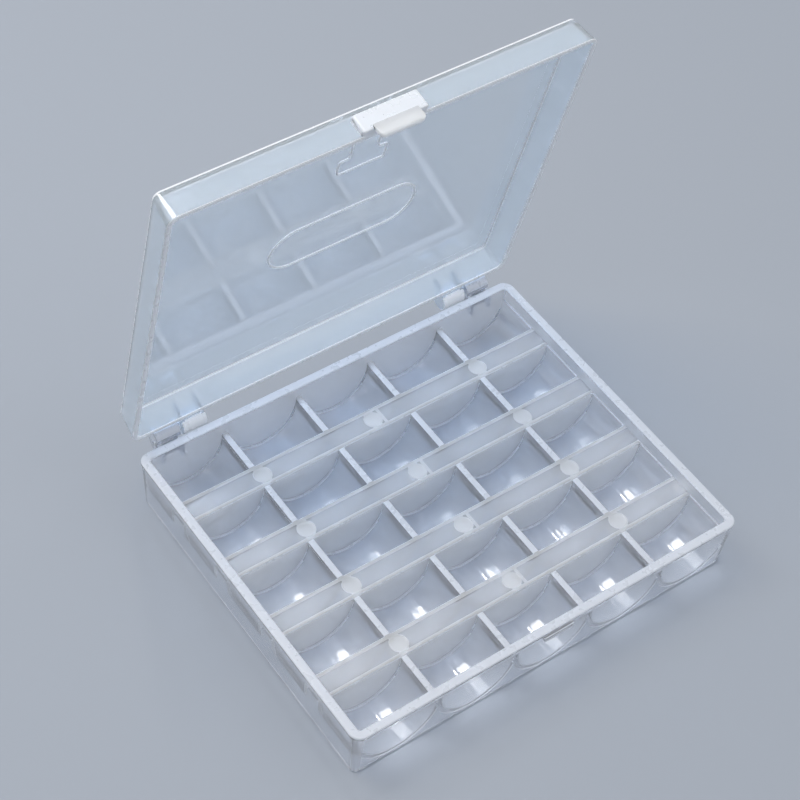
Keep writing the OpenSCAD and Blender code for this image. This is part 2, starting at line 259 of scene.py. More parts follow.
def rounded_profile(corners, radii, steps=5):
    """Closed outline with round corners.

    At each corner the arc's middle lies on the corner's bisector, r / sin(half angle) away, and the
    arc turns from one tangent point to the next by spherical interpolation of its two radii.
    """
    p = np.asarray(corners, float)
    back = np.roll(p, 1, 0) - p
    ahead = np.roll(p, -1, 0) - p
    len_back = np.linalg.norm(back, axis=1)
    len_ahead = np.linalg.norm(ahead, axis=1)
    a = back / len_back[:, None]
    b = ahead / len_ahead[:, None]
    half = np.arccos(np.clip((a * b).sum(1), -1, 1)) / 2
    half = np.minimum(half, math.pi / 2 - 1e-4)
    room = 0.48 * np.tan(half) * np.minimum(len_back, len_ahead)
    r = np.minimum(np.broadcast_to(np.asarray(radii, float), half.shape), room)
    r = np.maximum(r, 1e-6)
    reach = (r / np.tan(half))[:, None]
    bisector = a + b
    bisector /= np.maximum(np.linalg.norm(bisector, axis=1), 1e-9)[:, None]
    middle = p + bisector * (r / np.sin(half))[:, None]
    u = (p + a * reach - middle) / r[:, None]
    v = (p + b * reach - middle) / r[:, None]
    turn = np.maximum(math.pi - 2 * half, 1e-6)[:, None, None]
    t = np.linspace(0, 1, steps)[None, :, None]
    arc = (np.sin((1 - t) * turn) * u[:, None] + np.sin(t * turn) * v[:, None]) / np.sin(turn)
    return (middle[:, None] + r[:, None, None] * arc).reshape(-1, 2)


def rounded_rings(half_x, half_y, radius, z, steps=9):
    """Rounded rectangles stacked in Z, one for each entry of the arrays.

    Each point is its corner's middle plus radius * (cos a, sin a), with a turning a quarter per corner.
    """
    given = (half_x, half_y, radius, z)
    half_x, half_y, radius, z = (np.asarray(v, float)[:, None, None] for v in given)
    corner = np.arange(4)[None, :, None]
    angle = (corner + np.linspace(0, 1, steps)[None, None, :]) * math.pi / 2
    side_x = np.array([1.0, -1.0, -1.0, 1.0])[None, :, None]
    side_y = np.array([1.0, 1.0, -1.0, -1.0])[None, :, None]
    x = side_x * (half_x - radius) + radius * np.cos(angle)
    y = side_y * (half_y - radius) + radius * np.sin(angle)
    rings = np.stack([x, y, z + 0 * x], -1)
    return rings.reshape(len(rings), -1, 3)


def grid_faces(rows, columns, wrap_rows=False, wrap_columns=False):
    """Four-sided faces of a grid of points numbered row by row."""
    r = np.arange(rows if wrap_rows else rows - 1)[:, None]
    c = np.arange(columns if wrap_columns else columns - 1)[None, :]
    r1 = (r + 1) % rows
    c1 = (c + 1) % columns
    faces = np.stack([r * columns + c, r * columns + c1, r1 * columns + c1, r1 * columns + c], -1)
    return faces.reshape(-1, 4)


def make_mesh(name, points, faces, caps=()):
    """New object from points and faces, its normals turned outwards."""
    mesh = bpy.data.meshes.new(name)
    faces = faces.tolist() + [list(cap) for cap in caps]
    mesh.from_pydata(np.asarray(points).reshape(-1, 3).tolist(), [], faces)
    bm = bmesh.new()
    bm.from_mesh(mesh)
    bmesh.ops.remove_doubles(bm, verts=bm.verts, dist=1e-7)
    bmesh.ops.recalc_face_normals(bm, faces=bm.faces)
    bm.to_mesh(mesh)
    bm.free()
    obj = bpy.data.objects.new(name, mesh)
    bpy.context.scene.collection.objects.link(obj)
    return obj


def lathe(name, half_x, half_y, inset, z, corner, closed):
    """Profile carried round a rounded rectangle: inset i and height z give one ring each.

    A closed profile makes a frame; an open one is closed by a flat face over its first and last ring.
    """
    inset = np.asarray(inset)
    radius = np.maximum(corner - inset, SMALLEST_TURN)
    rings = rounded_rings(half_x - inset, half_y - inset, radius, z)
    rows, columns = rings.shape[:2]
    faces = grid_faces(rows, columns, wrap_rows=closed, wrap_columns=True)
    caps = () if closed else (range(columns), range((rows - 1) * columns, rows * columns))
    return make_mesh(name, rings, faces, caps)


def outline_normals(outline):
    """Unit normals of a closed outline, each the mean of its two sides' normals."""
    step = np.roll(outline, -1, 0) - outline
    side = np.stack([step[:, 1], -step[:, 0]], -1)
    side /= np.maximum(np.linalg.norm(side, axis=1), 1e-12)[:, None]
    mean = side + np.roll(side, 1, 0)
    mean /= np.maximum(np.linalg.norm(mean, axis=1), 1e-9)[:, None]
    x, y = outline.T
    area = (x * np.roll(y, -1) - np.roll(x, -1) * y).sum()
    return mean * np.sign(area)


def prism(name, outline, start, width, edge=0.0002, mirrored=False, along="X", corner=None):
    """Outline given a width along X (outline in Y, Z) or along Y (outline in X, Z), its ends rounded.

    Near each end the outline is drawn in by edge * (1 - sin a) as the width runs over
    edge * (1 - cos a). A corner (top, drop, r) squeezes the last r of the width towards the height
    top, by r - sqrt(r^2 - u^2) in drop, which rounds the lower corners in the front view.
    """
    outline = np.asarray(outline, float)
    normal = outline_normals(outline)
    a = np.linspace(0, math.pi / 2, 4)
    ends = edge * (1 - np.cos(a))
    drawn_in = edge * (1 - np.sin(a))
    if corner:
        top, drop, radius = corner
        lateral = np.linspace(ends[-1], radius, 7)[1:]
        ends = np.concatenate([ends, lateral])
        drawn_in = np.concatenate([drawn_in, 0 * lateral])
    x = np.concatenate([ends, (width - ends)[::-1]]) + start
    drawn_in = np.concatenate([drawn_in, drawn_in[::-1]])
    flat = outline[None] - normal[None] * drawn_in[:, None, None]
    if corner:
        u = np.clip(np.concatenate([radius - ends, (radius - ends)[::-1]]), 0, radius)
        share = 1 - (radius - np.sqrt(radius**2 - u**2)) / drop
        height = flat[..., 1]
        flat[..., 1] = np.where(height < top, top + (height - top) * share[:, None], height)
    side = -1.0 if mirrored else 1.0
    run = np.broadcast_to(side * x[:, None], flat.shape[:2])
    points = (run, flat[..., 0], flat[..., 1]) if along == "X" else (flat[..., 0], run, flat[..., 1])
    points = np.stack(points, -1)
    rows, columns = points.shape[:2]
    faces = grid_faces(rows, columns, wrap_columns=True)
    return make_mesh(name, points, faces, (range(columns), range((rows - 1) * columns, rows * columns)))


def disc(centre, radius, steps=40):
    """Circle of points about a centre in (Y, Z)."""
    a = np.linspace(0, 2 * math.pi, steps, endpoint=False)
    return np.stack([centre[0] + radius * np.cos(a), centre[1] + radius * np.sin(a)], -1)


def band(centre, outer, inner, start, end, steps=20):
    """Outline of a curved band between two radii, from one angle to another, in (Y, Z)."""
    a = np.radians(np.linspace(start, end, steps))
    there = np.stack([centre[0] + outer * np.cos(a), centre[1] + outer * np.sin(a)], -1)
    back = np.stack([centre[0] + inner * np.cos(a), centre[1] + inner * np.sin(a)], -1)[::-1]
    return np.concatenate([there, back])


def ridge_line(name, path, z, width, height):
    """Raised line along a closed path in (X, Y): a half-round section carried along the path.

    Each section point lies width / 2 * cos a to the side and height * sin a below the panel.
    """
    a = np.linspace(0, math.pi, 7)
    across = np.concatenate([width / 2 * np.cos(a), [-width / 2, width / 2]])
    down = np.concatenate([height * np.sin(a), [-LINE_SEAT, -LINE_SEAT]])
    side = outline_normals(path)
    xy = path[:, None] + side[:, None] * across[None, :, None]
    zz = np.broadcast_to((z - down)[None, :, None], xy.shape[:2] + (1,))
    points = np.concatenate([xy, zz], -1)
    return make_mesh(name, points, grid_faces(points.shape[0], points.shape[1], True, True))


def baked(obj):
    """Replaces an object's mesh by the result of its modifiers."""
    bpy.context.view_layer.update()
    graph = bpy.context.evaluated_depsgraph_get()
    mesh = bpy.data.meshes.new_from_object(
        obj.evaluated_get(graph), preserve_all_data_layers=True, depsgraph=graph
    )
    old = obj.data
    obj.modifiers.clear()
    obj.data = mesh
    bpy.data.meshes.remove(old)
    mesh.name = obj.name
    return obj


def combine(base, others, operation="UNION"):
    """Joins or cuts closed solids, one after another, and removes the ones used up."""
    for other in others:
        step = base.modifiers.new(operation.lower(), "BOOLEAN")
        step.operation = operation
        step.solver = "MANIFOLD"
        step.object = other
        baked(base)
        bpy.data.objects.remove(other)
    if not base.data.polygons:
        raise RuntimeError(f"{base.name} came out empty")
    return base


def turned_open(obj, hinge_y, hinge_z, angle):
    """Turns a mesh drawn closed about the hinge line to the lid's rest angle."""
    there = Matrix.Translation((0, hinge_y, hinge_z))
    obj.data.transform(there @ Matrix.Rotation(-angle, 4, "X") @ there.inverted())
    obj.data.update()
    return obj


def smooth(obj, angle=32):
    """Smooth shading with sharp edges kept, and flat faces kept flat by weighting normals by area."""
    mesh = obj.data
    mesh.shade_smooth()
    mesh.set_sharp_from_angle(angle=math.radians(angle))
    weights = obj.modifiers.new("weighted_normals", "WEIGHTED_NORMAL")
    weights.keep_sharp = True
    baked(obj)


def face_places(obj):
    """Middle and normal of every face, as two arrays."""
    count = len(obj.data.polygons)
    middle, normal = np.empty(count * 3), np.empty(count * 3)
    obj.data.polygons.foreach_get("center", middle)
    obj.data.polygons.foreach_get("normal", normal)
    return middle.reshape(-1, 3), normal.reshape(-1, 3)


def finish_piece(obj, materials, body, nodes, which=None):
    """Gives a piece its materials and its body, and hides the CAD nodes it stands for.

    which holds each face's material: the first where the plastic is thin, later ones for whiter
    copies where it is deeper, which also paint highlights and light, and for the lid's plate.
    """
    obj.data.materials.clear()
    for material in materials:
        obj.data.materials.append(material)
    if which is not None:
        obj.data.polygons.foreach_set("material_index", which.astype(np.int32))
    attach(obj, body)
    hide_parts(*nodes)


def settings():
    """The scene, which holds the property groups."""
    return bpy.context.scene


# ----------------------------------------------------------------- materials


def math_node(tree, operation, *values):
    """Output of a new math node, each of its inputs fed by a socket or set to a number."""
    node = tree.nodes.new("ShaderNodeMath")
    node.operation = operation
    for slot, value in zip(node.inputs, values):
        if isinstance(value, bpy.types.NodeSocket):
            tree.links.new(value, slot)
        else:
            slot.default_value = value
    return node.outputs[0]


def milky_group():
    """Cloudiness of moulded polypropylene: slow drift of tint, and a fine flow grain in the gloss.

    Tint is the colour made a little lighter or darker by a slow noise. Gloss is the roughness plus a
    fine noise, and Height is that fine noise by itself, for the bump.
    """
    group = bpy.data.node_groups.get("milky_cloud")
    if group:
        return group
    group = bpy.data.node_groups.new("milky_cloud", "ShaderNodeTree")
    face = group.interface
    for label, kind, default in (
        ("Colour", "NodeSocketColor", (0.8, 0.86, 0.94, 1)),
        ("Roughness", "NodeSocketFloat", 0.13),
        ("Cloud", "NodeSocketFloat", 0.05),
        ("Scale", "NodeSocketFloat", CLOUD_SCALE),
    ):
        face.new_socket(label, in_out="INPUT", socket_type=kind).default_value = default
    for label, kind in (
        ("Tint", "NodeSocketColor"),
        ("Gloss", "NodeSocketFloat"),
        ("Height", "NodeSocketFloat"),
    ):
        face.new_socket(label, in_out="OUTPUT", socket_type=kind)
    nodes, links = group.nodes, group.links
    given = nodes.new("NodeGroupInput")
    out = nodes.new("NodeGroupOutput")
    place = nodes.new("ShaderNodeTexCoord")
    cloud = nodes.new("ShaderNodeTexNoise")
    cloud.inputs["Detail"].default_value = 3.0
    links.new(place.outputs["Object"], cloud.inputs["Vector"])
    links.new(given.outputs["Scale"], cloud.inputs["Scale"])
    grain = nodes.new("ShaderNodeTexNoise")
    grain.inputs["Scale"].default_value = GRAIN_SCALE
    grain.inputs["Detail"].default_value = 2.0
    links.new(place.outputs["Object"], grain.inputs["Vector"])
    centred = math_node(group, "SUBTRACT", cloud.outputs["Fac"], 0.5)
    drift = math_node(group, "MULTIPLY", centred, given.outputs["Cloud"])
    lift = math_node(group, "ADD", drift, 1.0)
    tint = nodes.new("ShaderNodeVectorMath")
    tint.operation = "SCALE"
    links.new(given.outputs["Colour"], tint.inputs[0])
    links.new(lift, tint.inputs["Scale"])
    links.new(tint.outputs[0], out.inputs["Tint"])
    rough = given.outputs["Roughness"]
    gloss = math_node(group, "MULTIPLY_ADD", grain.outputs["Fac"], GLOSS_DRIFT, rough)
    links.new(gloss, out.inputs["Gloss"])
    links.new(grain.outputs["Fac"], out.inputs["Height"])
    return group


def plastic(name, tint, clear, roughness, cloud, bump, scatter=0.003, coat=0.0):
    """Translucent moulded plastic: the clear share of light passes through, the rest is scattered.

    Scattered light travels about scatter metres, or stays at the surface where scatter is 0. For
    shadows a little more than the clear share lets the lamps shine on what lies inside and below.
    """
    material = bpy.data.materials.new(name)
    material.use_nodes = True
    nodes, links = material.node_tree.nodes, material.node_tree.links
    shader = nodes["Principled BSDF"]
    shader.inputs["Transmission Weight"].default_value = clear
    shader.inputs["IOR"].default_value = PLASTIC_IOR
    shader.inputs["Metallic"].default_value = 0.0
    shader.inputs["Specular IOR Level"].default_value = 0.5
    shader.inputs["Subsurface Weight"].default_value = 1.0 if scatter > 0 else 0.0
    shader.inputs["Subsurface Radius"].default_value = (1.0, 1.0, 1.0)
    shader.inputs["Subsurface Scale"].default_value = scatter
    shader.inputs["Coat Weight"].default_value = coat
    shader.inputs["Coat Roughness"].default_value = COAT_ROUGHNESS
    group = nodes.new("ShaderNodeGroup")
    group.node_tree = milky_group()
    group.inputs["Colour"].default_value = (*tint, 1)
    group.inputs["Roughness"].default_value = roughness - GLOSS_DRIFT / 2
    group.inputs["Cloud"].default_value = cloud
    links.new(group.outputs["Tint"], shader.inputs["Base Color"])
    links.new(group.outputs["Gloss"], shader.inputs["Roughness"])
    ripple = nodes.new("ShaderNodeBump")
    ripple.inputs["Strength"].default_value = bump
    ripple.inputs["Distance"].default_value = RIPPLE_DEPTH
    links.new(group.outputs["Height"], ripple.inputs["Height"])
    links.new(ripple.outputs["Normal"], shader.inputs["Normal"])
    through = nodes.new("ShaderNodeBsdfTransparent")
    through.inputs["Color"].default_value = (*tint, 1)
    path = nodes.new("ShaderNodeLightPath")
    shine = min(1.0, clear + SHINE_THROUGH)
    share = math_node(material.node_tree, "MULTIPLY", path.outputs["Is Shadow Ray"], shine)
    mix = nodes.new("ShaderNodeMixShader")
    links.new(share, mix.inputs["Fac"])
    links.new(shader.outputs[0], mix.inputs[1])
    links.new(through.outputs[0], mix.inputs[2])
    links.new(mix.outputs[0], nodes["Material Output"].inputs["Surface"])
    material.diffuse_color = (*tint, 1)
    return material


# -------------------------------------------------------------------- pieces


def tray_walls(p):
    """Walls and rim lip: one closed profile, lip and draft included, carried round the tray."""
    lip, low = p.lip_overhang, p.height - p.lip_height
    foot, crease, outer, inner = 0.0003, 0.0001, 0.0005, 0.0004
    corners = [
        (lip + p.wall_draft, 0),
        (lip, low),
        (0, low + crease),
        (0, p.height),
        (p.rim_width, p.height),
        (p.rim_width, 0),
    ]
    profile = rounded_profile(corners, [foot, crease, crease, outer, inner, foot])
    inset, z = profile.T
    return lathe("tray_moulding", p.length / 2, p.depth / 2, inset, z, p.corner_radius, True)


def row_layout(p):
    """Half the depth inside the walls, and the length of one row of cradles."""
    inner_y = p.depth / 2 - p.rim_width
    return inner_y, (2 * inner_y - (ROWS - 1) * p.bridge_width) / ROWS


def cradle_centres(p):
    """X of the middle of each cradle in a row."""
    return (np.arange(COLUMNS) - (COLUMNS - 1) / 2) * p.cradle_pitch


def ramp(edge, towards, depth, top_radius, foot_radius, draft, steps=6):
    """End wall of a cradle as rows of (Y, drop below the deck), from the deck down to the floor.

    A quarter circle turns over the edge, a straight wall leans by draft, and a quarter circle of
    the foot radius runs out onto the floor. Both radii shrink where the depth is small.
    """
    top = np.minimum(top_radius, LARGEST_ROUND * depth)
    root = np.minimum(foot_radius, LARGEST_ROUND * depth)
    a = np.linspace(0, math.pi / 2, steps)[None, :]
    lean = draft * depth
    y_top = -top[:, None] + top[:, None] * np.sin(a)
    d_top = top[:, None] * (1 - np.cos(a))
    y_foot = (lean + root)[:, None] - root[:, None] * np.cos(a)
    d_foot = (depth - root)[:, None] + root[:, None] * np.sin(a)
    flat = np.zeros((len(depth), 1))
    y = np.concatenate([flat - BAND, y_top, y_foot], 1)
    d = np.concatenate([flat, d_top, d_foot], 1)
    return edge + towards * y, d


def deck_surface(section_z, level, front_edges, back_edges, radii, draft, wall_y, wall_root):
    """Y and Z of a sheet at level with a sunken row between each front and back edge.

    section_z holds the height in a row of every point across it, and radii the rounding of an end
    wall's top and foot. At the front and back the sheet runs on into the walls, with a fillet of
    wall_root where it meets them.
    """
    ys, zs = [], []
    depth = level - section_z
    last_y = wall_y + WALL_LAP
    a = np.linspace(0, math.pi / 2, 6)[None, :]
    one = np.ones((len(depth), 1))
    rise = wall_root * (1 - np.cos(a)) * one
    run = wall_root * np.sin(a) * one
    floor = (level - depth)[:, None]
    ys += [-last_y * one, -wall_y + wall_root - run[:, ::-1], (BAND - wall_y) * one]
    zs += [floor + wall_root, floor + rise[:, ::-1], floor]
    for i in range(ROWS - 1):
        y, d = ramp(back_edges[i], -1.0, depth, *radii, draft)
        ys.append(y[:, ::-1])
        zs.append(level - d[:, ::-1])
        y, d = ramp(front_edges[i + 1], 1.0, depth, *radii, draft)
        ys.append(y)
        zs.append(level - d)
    ys += [(wall_y - BAND) * one, wall_y - wall_root + run, last_y * one]
    zs += [floor, floor + rise, floor + wall_root]
    return np.concatenate(ys, 1), np.concatenate(zs, 1)


def cradle_section(p, end_x):
    """X and Z of the deck's upper side across all cradles: rounded ridges, short sides and arcs."""
    deck, radius = p.height - p.deck_drop, p.cradle_radius
    middle = radius + p.shell - CRADLE_FLAT
    edge = min(p.edge_radius, LARGEST_ROUND * (p.cradle_pitch / 2 - radius))
    a = np.linspace(0, math.pi / 2, 5)
    arc = np.linspace(math.pi, 2 * math.pi, p.arc_steps)
    left_x = -radius - edge + edge * np.sin(a)
    left_z = deck - edge + edge * np.cos(a)
    x = np.concatenate([left_x, radius * np.cos(arc), -left_x[::-1]])
    z = np.concatenate([left_z, middle + radius * np.sin(arc), left_z[::-1]])
    xs = (cradle_centres(p)[:, None] + x[None]).ravel()
    zs = np.tile(z, COLUMNS)
    return np.concatenate([[-end_x], xs, [end_x]]), np.concatenate([[deck], zs, [deck]])


def cups_section(p, count, inner_x, end_x):
    """X and Z of the underside across all cradles, in count points.

    The outer arcs meet below each ridge, and the table cuts them flat.
    """
    radius = p.cradle_radius + p.shell
    middle = radius - CRADLE_FLAT
    per_cup = (count - 2) // COLUMNS
    centres = cradle_centres(p)
    reach_left = np.full(COLUMNS, p.cradle_pitch / 2)
    reach_right = reach_left.copy()
    reach_left[0] = reach_right[-1] = inner_x + centres[0]
    start = np.arcsin(-reach_left / radius)
    end = np.arcsin(reach_right / radius)
    share = np.linspace(0, 1, per_cup)[None]
    a = start[:, None] + (end - start)[:, None] * share
    xs = centres[:, None] + radius * np.sin(a)
    zs = np.maximum(middle - radius * np.cos(a), 0.0)
    x, z = xs.ravel(), zs.ravel()
    return np.concatenate([[-end_x], x, [end_x]]), np.concatenate([[z[0]], z, [z[-1]]])


def tray_deck(p):
    """Deck with its grid of cradles: an upper and a lower sheet over one grid, stitched at their rims.

    The upper sheet follows the bobbins' arcs, the lower one the same arcs a shell thickness away,
    and both rise between the rows to the hollow bridges.
    """
    inner_y, pocket = row_layout(p)
    inner_x = p.length / 2 - p.rim_width
    deck, end_x = p.height - p.deck_drop, inner_x + WALL_LAP
    front = -inner_y + np.arange(ROWS) * (pocket + p.bridge_width)
    back = front + pocket
    x_top, z_top = cradle_section(p, end_x)
    x_low, z_low = cups_section(p, len(x_top), inner_x, end_x)
    top_radii, top_draft = (p.edge_radius, p.root_radius), 0.012
    low_radii, low_draft = (0.0004, 0.0012), 0.0
    y_top, zz_top = deck_surface(z_top, deck, front, back, top_radii, top_draft, inner_y, p.root_radius)
    front, back = front - p.shell, back + p.shell
    y_low, zz_low = deck_surface(z_low, deck - p.shell, front, back, low_radii, low_draft, inner_y, HAIR)
    upper = np.stack([np.broadcast_to(x_top[:, None], y_top.shape), y_top, zz_top], -1)
    lower = np.stack([np.broadcast_to(x_low[:, None], y_low.shape), y_low, zz_low], -1)
    rows, columns = upper.shape[:2]
    top_faces = grid_faces(rows, columns)
    low_faces = top_faces[:, ::-1] + rows * columns
    rim = np.concatenate(
        [
            np.arange(columns - 1),
            np.arange(rows - 1) * columns + columns - 1,
            (rows - 1) * columns + np.arange(columns - 1, 0, -1),
            np.arange(rows - 1, 0, -1) * columns,
        ]
    )
    ahead = np.roll(rim, -1)
    sides = np.stack([rim, rim + rows * columns, ahead + rows * columns, ahead], -1)
    points = np.concatenate([upper.reshape(-1, 3), lower.reshape(-1, 3)])
    return make_mesh("deck", points, np.concatenate([top_faces, low_faces, sides]))


def post_centres(p):
    """X and Y of every ejector post: three under each bridge, spaced by 1.5 cradles."""
    inner_y, pocket = row_layout(p)
    y = -inner_y + np.arange(1, ROWS) * (pocket + p.bridge_width) - p.bridge_width / 2
    x = np.array([-1.0, 0.0, 1.0]) * p.cradle_pitch * 1.5 + 0.001
    return [(cx, cy) for cy in y for cx in x]


def ejector_posts(p):
    """Round posts below the bridges that the moulding is pushed out by: a stepped profile turned once.

    Each top stands a hair above the deck, and each foot is rounded.
    """
    deck, radius = p.height - p.deck_drop, POST_RADIUS
    inset = np.array([0.0005, 0.0001, 0.0, 0.0, 0.0001, 0.0004, 0.0005])
    foot = np.array([0.0, 0.0001, 0.0004]) - POST_DEPTH
    height = np.concatenate([foot, [0.00002, 0.0001, 0.0001, 0.00004]])
    posts = []
    for cx, cy in post_centres(p):
        post = lathe("post", radius, radius, inset, deck + height, radius - HAIR, False)
        post.data.transform(Matrix.Translation((cx, cy, 0)))
        posts.append(post)
    return posts


def hinge_half(name, h, centre, start, rib, wedge, web_angles, mirrored):
    """Solids of one hinge half: two ears and their ribs, and between them a curved web and a wedge."""
    ears = (start, start + h.width - h.ear)
    solids = [prism(name, disc(centre, h.radius), x, h.ear, mirrored=mirrored) for x in ears]
    solids += [prism(name, rib, x, h.ear, mirrored=mirrored) for x in ears]
    web = band(centre, h.radius - WEB_SINK, h.radius - h.web, *web_angles)
    between = (start + WEB_INSET, h.width - 2 * WEB_INSET, 2 * HAIR, mirrored)
    return solids + [prism(name, web, *between), prism(name, wedge, *between)]


def tray_knuckle(p, h, mirrored):
    """Tray half of a hinge: two ears with ribs down the wall, and a curved web, in one solid."""
    half, wall = p.depth / 2, p.depth / 2 - p.lip_overhang
    y, z = half + h.setback, p.height + h.rise
    rib = rounded_profile(
        [
            (wall - RIB_SEAT, z - 0.0066),
            (wall + 0.0006, z - 0.0062),
            (y + 0.0016, z - 0.0021),
            (y - 0.0016, z + 0.001),
            (half - 0.0003, z - 0.0010),
            (wall - RIB_SEAT, z - 0.0014),
        ],
        [0.0001, 0.0008, 0.0004, 0.0004, 0.0001, 0.0001],
    )
    wedge = rounded_profile(
        [
            (wall - RIB_SEAT, z - 0.0034),
            (y - 0.0002, z - h.radius + 0.0001),
            (y - 0.0002, z - h.radius + 0.00102),
            (y - 0.002, z - 0.0017),
            (wall - RIB_SEAT, z - 0.0023),
        ],
        0.0001,
    )
    start = h.offset + h.width + h.gap
    solids = hinge_half("tray_knuckle", h, (y, z), start, rib, wedge, (80, 275), mirrored)
    knuckle = combine(solids[0], solids[1:])
    before, beyond = 0.001, 0.0005
    bore = disc((y, z), h.pin + h.clearance)
    hole = prism("hole", bore, start - before, before + h.ear + beyond, HAIR, mirrored)
    return combine(knuckle, [hole], "DIFFERENCE")


def catch_rib(latch):
    """Rib below the edge of the rim, its lower corners round: a front outline carried along Y."""
    low, high = CATCH_BOX
    outline = rounded_profile(
        [(low[0], low[2]), (high[0], low[2]), (high[0], high[2]), (low[0], high[2])],
        [0.0007, 0.0007, 0.00015, 0.00015],
    )
    lap = 0.0008
    return prism("catch", outline, low[1], latch.catch_depth + lap, 0.00035, along="Y")


def tray_painted_light_faces(tray, p):
    """Which plastic each face of the tray shows: 2 a whiter copy, 1 a less clear copy, else 0.

    The whiter copy goes where one looks down into more plastic: on the rim, the ridges, the rounded
    edges, the foot of the outer wall and the ends of the cradles behind the front wall. It is also a
    painted highlight along those edges, and on the foot painted light where shade falls at the floor.
    The less clear copy on end walls, bridge edges and posts keeps them whiter: on the end walls painted
    light where they stand in shade.
    """
    middle, normal = face_places(tray)
    x, y, z = middle.T
    deck = p.height - p.deck_drop
    inner_y, pocket = row_layout(p)
    inner_x = p.length / 2 - p.rim_width
    step = pocket + p.bridge_width
    into_row = np.mod(y + inner_y, step)
    in_pocket = into_row < pocket
    to_edge = np.where(in_pocket, 1.0, np.minimum(into_row - pocket, step - into_row))
    to_ridge = np.abs(np.mod(x / p.cradle_pitch + 0.5 * COLUMNS + 0.5, 1.0) - 0.5) * p.cradle_pitch
    away_x, away_y = np.abs(x), np.abs(y)
    lean_y, lean_z = np.abs(normal[:, 1]), np.abs(normal[:, 2])
    up = normal[:, 2] > FACES_UP
    at_deck = up & (np.abs(z - deck) < 0.0008) & (away_y < inner_y)
    ridge = at_deck & in_pocket & (to_ridge < p.cradle_pitch / 2 - p.cradle_radius + 0.0002)
    wall_top = at_deck & (to_edge < BAND)
    rim = up & (z > p.height - 0.001)
    inside = (away_y < inner_y - 0.0002) & (away_x < inner_x - 0.0001)
    # Rounded edges: a painted highlight along each edge, partly more plastic along the view.
    edge = (lean_y > TURNING) & (lean_y < FLAT) & (inside | (lean_z > TURNING))
    edge |= (away_x > inner_x - 0.0005) & (lean_z > TURNING) & (lean_z < NEARLY_FLAT)
    # Cradle ends seen through the front wall: painted bright arcs, partly thick plastic seen edge-on.
    cup_end = inside & (y < BAND - inner_y) & (z < deck - p.shell)
    cup_end &= (normal[:, 2] < 0.2) & (lean_y < 0.3)
    # Foot of the outer wall: painted light where shade falls at the floor.
    foot = (z < 0.0004) & (normal[:, 2] > -FLAT) & ((away_y > inner_y) | (away_x > inner_x))
    # End walls: a less clear copy, painted light that keeps them whiter where they stand in shade.
    painted_lit_end_wall = inside & (lean_y >= FLAT)
    depth = np.where(ridge | rim | edge | cup_end | foot, 2, painted_lit_end_wall | wall_top)
    to_post = np.min([np.hypot(x - cx, y - cy) for cx, cy in post_centres(p)], 0)
    post = (to_post < POST_RADIUS + 5 * HAIR) & (z > deck - POST_DEPTH - 0.0005) & (away_y < inner_y)
    return np.where(post, 1, depth)


class BOX_OT_tray(Operator):
    """Build the tray moulding: walls, rim lip, deck, cradles, tray hinge halves and catch"""

    bl_idname = "box.tray"
    bl_label = "Tray moulding"

    def execute(self, context):
        p, h, f = settings().box_tray, settings().box_hinge, settings().box_finish
        tray = tray_walls(p)
        extras = [tray_deck(p)] + ejector_posts(p)
        extras += [tray_knuckle(p, h, mirrored) for mirrored in (False, True)]
        combine(tray, extras + [catch_rib(settings().box_latch)])
        smooth(tray)
        glossy, matt = f.roughness - 0.04, f.roughness + 0.18
        # The second and third looks are whiter copies of the same plastic: painted light on end walls in
        # shade and painted highlights along edges, partly more plastic along the view.
        thin = plastic("tray_plastic_look", f.tray_colour, f.tray_clear, glossy, 0.05, 0.01, coat=1.0)
        deep_and_highlit = plastic("tray_thick_look", f.thick_highlight_colour, f.thick_highlight_clear, matt, 0.03, 0.0, 0.0)
        wall = plastic("tray_wall_look", f.tray_colour, f.wall_painted_light_clear, f.roughness, 0.05, 0.02, 0.002)
        nodes = ["tray_walls", "tray_knuckle_left", "tray_knuckle_right", "catch_rib"]
        nodes += [f"cradle_row_{i}" for i in range(1, ROWS + 1)]
        nodes += [f"bridge_{i}" for i in range(1, ROWS)]
        finish_piece(tray, [thin, wall, deep_and_highlit], "tray", nodes, tray_painted_light_faces(tray, p))
        return {"FINISHED"}


def lid_shell(p, lid):
    """Panel and tapering walls: an open profile carried round the lid, closed by its two flat faces."""
    rim = p.height + lid.gap
    top = rim + lid.height
    start, lip, root = 0.006, 0.0004, 0.0006
    corners = [
        (start, top),
        (lid.taper, top),
        (0.0, rim),
        (lid.wall, rim),
        (lid.wall + lid.taper, top - lid.panel),
        (start, top - lid.panel),
    ]
    profile = rounded_profile(corners, [HAIR, lid.edge_radius, lip, lip, root, HAIR])
    inset, z = profile.T
    return lathe("lid_moulding", p.length / 2, p.depth / 2, inset, z, p.corner_radius, False)


def lid_lines(p, lid):
    """Rounded outline in the middle of the panel, and a plain spool outline in front of it."""
    z = p.height + lid.gap + lid.height - lid.panel
    half_x = (lid.label_length - lid.line_width) / 2
    half_y = (lid.label_height - lid.line_width) / 2
    stadium = rounded_rings([half_x], [half_y], [half_y - HAIR], [0], 24)[0, :, :2]
    wide, narrow, tall = lid.spool_width / 2, lid.spool_stem / 2, lid.spool_height / 2
    low = tall - lid.spool_flange
    left = [(-wide, tall), (-wide, low), (-narrow, low), (-narrow, -low), (-wide, -low), (-wide, -tall)]
    right = [(-x, y) for x, y in reversed(left)]
    spool = rounded_profile(left + right, lid.spool_corner, 6) - (0, lid.spool_setback)
    return [ridge_line("line", path, z, lid.line_width, lid.line_height) for path in (stadium, spool)]


